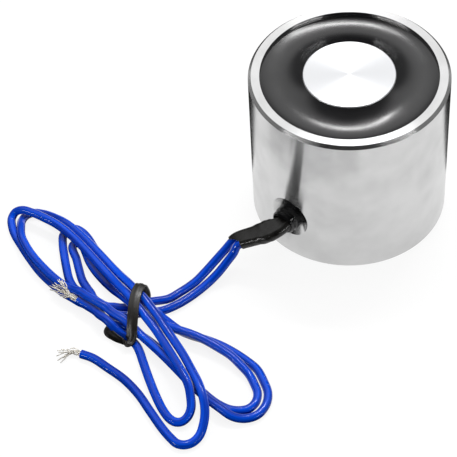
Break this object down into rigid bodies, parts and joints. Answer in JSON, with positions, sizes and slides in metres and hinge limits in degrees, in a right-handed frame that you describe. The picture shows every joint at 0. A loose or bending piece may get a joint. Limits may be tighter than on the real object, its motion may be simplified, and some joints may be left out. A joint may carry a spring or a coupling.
{
  "type": "holding electromagnet",
  "caption": "Round holding electromagnet: plated steel pot with a flush centre pole, potted coil, tapped back and a pair of insulated leads bundled in a twist tie",
  "frame": {"origin": "centre of the back face, on the pole's axis", "axes": "+Z along the pole's axis out of the pole face, -Y along the lead exit in the side, +X to the right of the lead exit"},
  "size_m": [0.092, 0.1147, 0.044],
  "materials": {
    "plated_steel": "bright nickel plating",
    "turned_steel": "face-turned and plated",
    "bobbin_plastic": "moulded",
    "copper_wire": "enamelled copper wire",
    "coil_tape": "polyester tape",
    "potting_resin": "glossy cast resin",
    "grommet_rubber": "moulded, satin",
    "sleeve_plastic": "shrunk tube, semi-gloss",
    "lead_insulation": "glossy vinyl",
    "tinned_strands": "tinned copper strands",
    "tie_plastic": "ribbed plastic band"
  },
  "bodies": {
    "root": {"pot": "plated_steel", "pole_core": "turned_steel", "coil_bobbin": "bobbin_plastic", "coil_winding": "copper_wire", "coil_wrap": "coil_tape", "potting_resin": "potting_resin", "cable_grommet": "grommet_rubber", "heat_shrink_sleeve": "sleeve_plastic", "lead_a": "lead_insulation", "lead_b": "lead_insulation", "bare_end_a": "tinned_strands", "bare_end_b": "tinned_strands", "twist_tie": "tie_plastic"}
  },
  "joints": []
}
